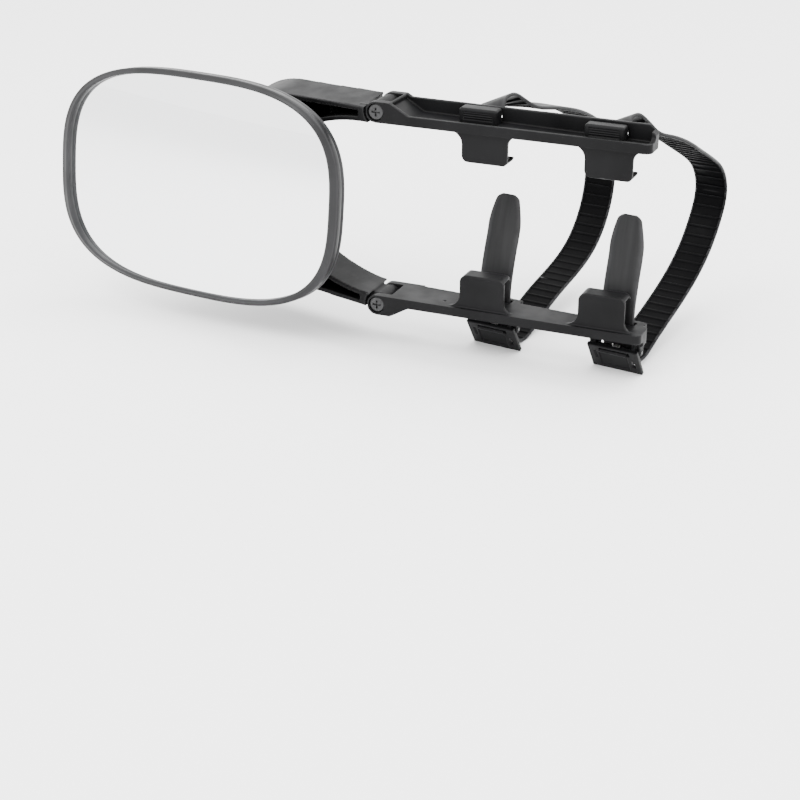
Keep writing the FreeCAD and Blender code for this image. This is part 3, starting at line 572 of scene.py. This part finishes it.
def strap_piece(name, label, rows):
    """One stretch of a strap: a closed band through its rows of section points."""
    bm = bmesh.new()
    rings = [[bm.verts.new(point * MM) for point in row] for row in rows]
    bridge_rings(bm, rings, closed=False)
    bm.faces.new(rings[0])
    bm.faces.new(rings[-1][::-1])
    obj = from_bmesh("strap_" + name + "_" + label, bm, 38)
    # Mask of the ribbed side; the strap material paints this side darker as painted shade.
    mask = obj.data.attributes.new("ribbed", "FLOAT", "POINT")
    mask.data.foreach_set("value", [0.0 if j < OUTSIDE_POINTS or j == len(row) - 1 else 1.0
                                    for row in rows for j in range(len(row))])
    return finish_piece(obj, None, "strap_plastic", "strap_" + name)


def strap(name):
    """Upper half hangs from the upper jaw, lower half runs down to its buckle and tail."""
    rows, reach = strap_rows(name)
    turn = int(np.argmax(reach))
    upper = strap_piece(name, "upper", rows[:turn + 1])
    lower = strap_piece(name, "lower", rows[turn:])
    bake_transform(upper)
    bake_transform(lower)


# ---------------------------------------------------------------- claw pads
def pad_outline(front, back, near, far):
    """An L along the claw's floor and wall, with small ridges on its two inner faces."""
    thick = PAD_T - PAD_RIDGE
    outline = [(front, near), (back, near), (back, near + thick)]
    y = back - 0.8
    while y > front + 3.6:
        outline += [(y, near + thick), (y - 0.5, near + PAD_T), (y - 1.0, near + thick)]
        y -= RIDGE_PITCH
    outline.append((front + thick, near + thick))
    z = near + 3.4
    while z < far - 1.6:
        outline += [(front + thick, z), (front + PAD_T, z + 0.5), (front + thick, z + 1.0)]
        z += RIDGE_PITCH
    return outline + [(front + thick, far), (front, far)]


def claw_pad(jaw, place, x):
    """Rubber lining of one claw, with its ends drawn in a little."""
    node = jaw + "_claw_pads"
    sign = 1 if jaw == "upper" else -1
    low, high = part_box(node)
    front, back = low.y / MM, high.y / MM
    near, far = sorted((abs(low.z) / MM, abs(high.z) / MM))
    middle_y, middle_z = (front + back) / 2, near + (PAD_T - PAD_RIDGE) / 2
    outline = pad_outline(front, back, near, far)
    bm = bmesh.new()
    rings = []
    for u, drawn_in in ((-PAD_HALF, 0.006), (0.3 - PAD_HALF, 0), (PAD_HALF - 0.3, 0), (PAD_HALF, 0.006)):
        rings.append([bm.verts.new((x + u, between(a, middle_y, drawn_in),
                                    sign * between(b, middle_z, drawn_in))) for a, b in outline])
    bridge_rings(bm, rings, closed=False)
    bm.faces.new(rings[0])
    bm.faces.new(rings[-1][::-1])
    bmesh.ops.scale(bm, vec=(MM, MM, MM), verts=bm.verts)
    obj = from_bmesh(jaw + "_pad_" + place, bm, 30)
    return finish_piece(obj, jaw + "_jaw_body", "pad_rubber", node)


# ---------------------------------------------------------------- studio
def studio():
    """Pale floor under the object's lowest point, soft light, and the camera."""
    bm = bmesh.new()
    bmesh.ops.create_circle(bm, cap_ends=True, radius=30, segments=64)
    floor = from_bmesh("floor", bm)
    floor.location.z = cad_box[0][2]
    material, _, _ = node_tree("floor", (0.93, 0.93, 0.93), 0.85)
    floor.data.materials.append(material)
    world = bpy.data.worlds.new("studio")
    world.use_nodes = True
    world.node_tree.nodes["Background"].inputs["Color"].default_value = (1, 1, 1, 1)
    world.node_tree.nodes["Background"].inputs["Strength"].default_value = 3.4
    bpy.context.scene.world = world
    area_light("key", (-0.5, -1.1, 1.6), 1.0, 30)
    area_light("top", (0.3, 0.6, 1.9), 1.2, 40)
    area_light("side", (1.6, -0.4, 0.8), 0.9, 10)
    camera()


def area_light(name, place, size, power):
    """Square soft light at a place in metres, aimed at the middle of the object."""
    light = bpy.data.lights.new(name, "AREA")
    light.size = size
    light.energy = power
    obj = bpy.data.objects.new(name, light)
    obj.location = place
    aim = Vector((-0.1, 0.05, 0)) - Vector(place)
    obj.rotation_euler = aim.to_track_quat("-Z", "Y").to_euler()
    bpy.context.scene.collection.objects.link(obj)


def camera():
    """Seen from the front right and a little above, far enough for mild perspective."""
    data = bpy.data.cameras.new("camera")
    data.sensor_width = 36
    data.lens = CAMERA_LENS
    obj = bpy.data.objects.new("camera", data)
    obj.location = CAMERA_PLACE
    obj.rotation_euler = (math.radians(90 - CAMERA_DOWN), 0, math.radians(CAMERA_TURN))
    bpy.context.scene.collection.objects.link(obj)
    bpy.context.scene.camera = obj


# ---------------------------------------------------------------- the object
MATERIALS = all_materials()
SLOT_OF = {s["node"]: s["material_slot"] for s in frame["record"]["subparts"]}
for node, obj in frame["nodes"].items():
    obj.data.materials.clear()
    obj.data.materials.append(MATERIALS[SLOT_OF[node]])

# Node, body, slot, voxel size in mm, rounds of smoothing, share of the faces kept.
moulded("yoke_frame", "yoke", "black_plastic", 0.6, 3, 0.3)
moulded("upper_jaw", "upper_jaw_body", "black_plastic", 0.45, 3, 0.35)
moulded("lower_jaw", "lower_jaw_body", "black_plastic", 0.45, 3, 0.35)
moulded("head_shell", "head_body", "head_plastic", 0.8, 4, 0.4)
for side in SLOTS:
    moulded("strap_anchor_" + side, "upper_jaw_body", "black_plastic", 0.3, 2, 0.4)
    moulded("release_lever_" + side, "lever_" + side + "_body", "lever_plastic", 0.25, 2, 0.4)
    strap(side)
head_bezel()
mirror_glass()
for place, x in CLAWS.items():
    claw_pad("upper", place, x)
    claw_pad("lower", place, x)
studio()
